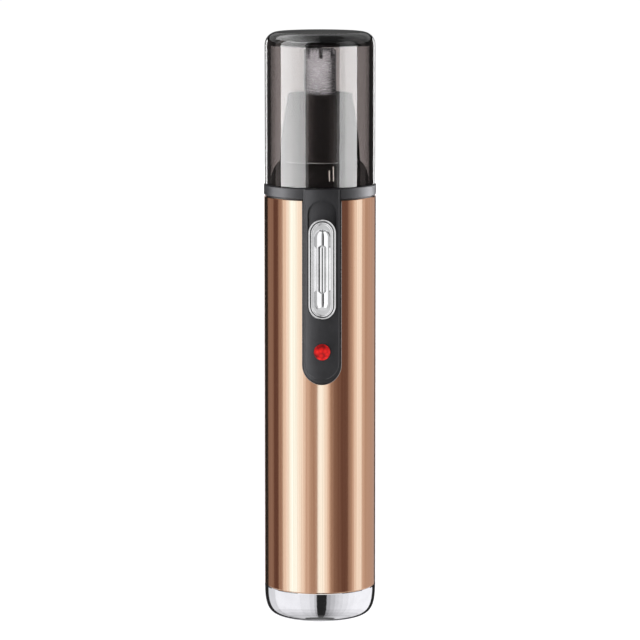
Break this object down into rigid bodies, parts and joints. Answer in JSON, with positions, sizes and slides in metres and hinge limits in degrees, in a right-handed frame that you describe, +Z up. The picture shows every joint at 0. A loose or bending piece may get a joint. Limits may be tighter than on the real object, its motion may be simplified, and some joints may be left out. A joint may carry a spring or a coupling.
{
  "type": "nose hair trimmer",
  "caption": "Slim battery nose hair trimmer: metal handle with slide switch and lamp, spinning cutter in a slotted steel guard on a black cone, under a clear push-on cap.",
  "frame": {"origin": "mouth of the charging socket, at the centre of the flat underside it stands on", "axes": "+Z up along the handle to the cutter; -Y is the side with the switch and the lamp"},
  "size_m": [0.026, 0.0275, 0.1365],
  "materials": {
    "chrome": "polished plating",
    "gold_anodised": "satin, drawn lengthways, rose gold",
    "black_matte": "fine satin texture",
    "black_gloss": "moulded gloss",
    "smoked_clear": "clear smoked plastic",
    "red_lens": "translucent moulded red",
    "red_lamp": "diffused resin",
    "steel": "ground and tumbled",
    "shaft_steel": "ground",
    "motor_zinc": "zinc plated pressing",
    "laminations": "stamped sheet, lacquered",
    "magnet": "pressed ferrite",
    "white_acetal": "moulded satin",
    "black_nylon": "moulded satin",
    "white_nylon": "moulded satin",
    "rubber": "moulded",
    "bronze": "sintered",
    "copper": "enamelled wire and bars",
    "brass": "stamped",
    "chassis_grey": "moulded satin",
    "nickel": "nickel plated",
    "cell_wrap": "shrink film",
    "board": "solder mask",
    "board_black": "moulded epoxy",
    "lead_red": "extruded insulation",
    "lead_black": "extruded insulation",
    "lead_white": "extruded insulation"
  },
  "bodies": {
    "handle": {"base_cap": "chrome", "charge_jack": "black_nylon", "jack_tabs": "brass", "body_sleeve": "gold_anodised", "top_ring": "black_matte", "head_collar": "black_gloss", "drive_seal": "rubber", "front_panel": "black_matte", "indicator_lens": "red_lens", "slide_switch": "nickel", "circuit_board": "board", "indicator_lamp": "red_lamp", "board_parts": "board_black", "chassis_rear": "chassis_grey", "chassis_front": "chassis_grey", "chassis_screws": "steel", "cell_can": "nickel", "cell_wrap": "cell_wrap", "cell_tabs": "nickel", "motor_can": "motor_zinc", "motor_end_cap": "black_nylon", "motor_bushes": "bronze", "motor_magnets": "magnet", "motor_terminals": "brass", "motor_brushes": "brass", "jack_lead": "lead_black", "cell_lead": "lead_red", "motor_leads": "lead_white"},
    "switch": {"switch_button": "chrome", "switch_carrier": "black_nylon", "switch_knob": "white_nylon"},
    "rotor": {"rotor_shaft": "shaft_steel", "rotor_core": "laminations", "rotor_windings": "copper", "commutator": "copper", "drive_coupling": "white_acetal", "drive_spring": "steel"},
    "head_core": {"head_seal": "rubber", "spindle_bush": "bronze"},
    "head": {"head_cone": "black_gloss", "head_trim": "steel", "head_base": "black_nylon", "cutter_guard": "steel", "guard_retainer": "black_nylon"},
    "blade": {"blade_spindle": "white_acetal", "inner_blade": "steel"},
    "cap": {"cap": "smoked_clear"}
  },
  "joints": [
    {"name": "switch_slide", "type": "slide", "parent": "handle", "child": "switch", "axis": [0, 0, 1], "range_m": [0, 0.0042]},
    {"name": "rotor_spin", "type": "hinge", "parent": "handle", "child": "rotor", "pos_m": [0, 0, 0.08], "axis": [0, 0, 1], "continuous": true},
    {"name": "head_lift", "type": "slide", "parent": "handle", "child": "head_core", "axis": [0, 0, 1], "range_m": [0, 0.03]},
    {"name": "head_twist", "type": "hinge", "parent": "head_core", "child": "head", "pos_m": [0, 0, 0.1054], "axis": [0, 0, -1], "range_deg": [0, 35]},
    {"name": "blade_spin", "type": "hinge", "parent": "head_core", "child": "blade", "pos_m": [0, 0, 0.118], "axis": [0, 0, 1], "continuous": true},
    {"name": "cap_pull", "type": "slide", "parent": "head_core", "child": "cap", "axis": [0, 0, 1], "range_m": [0, 0.04]}
  ],
  "couplings": [
    {"joint": "blade_spin", "follows": "rotor_spin", "ratio": 1}
  ]
}
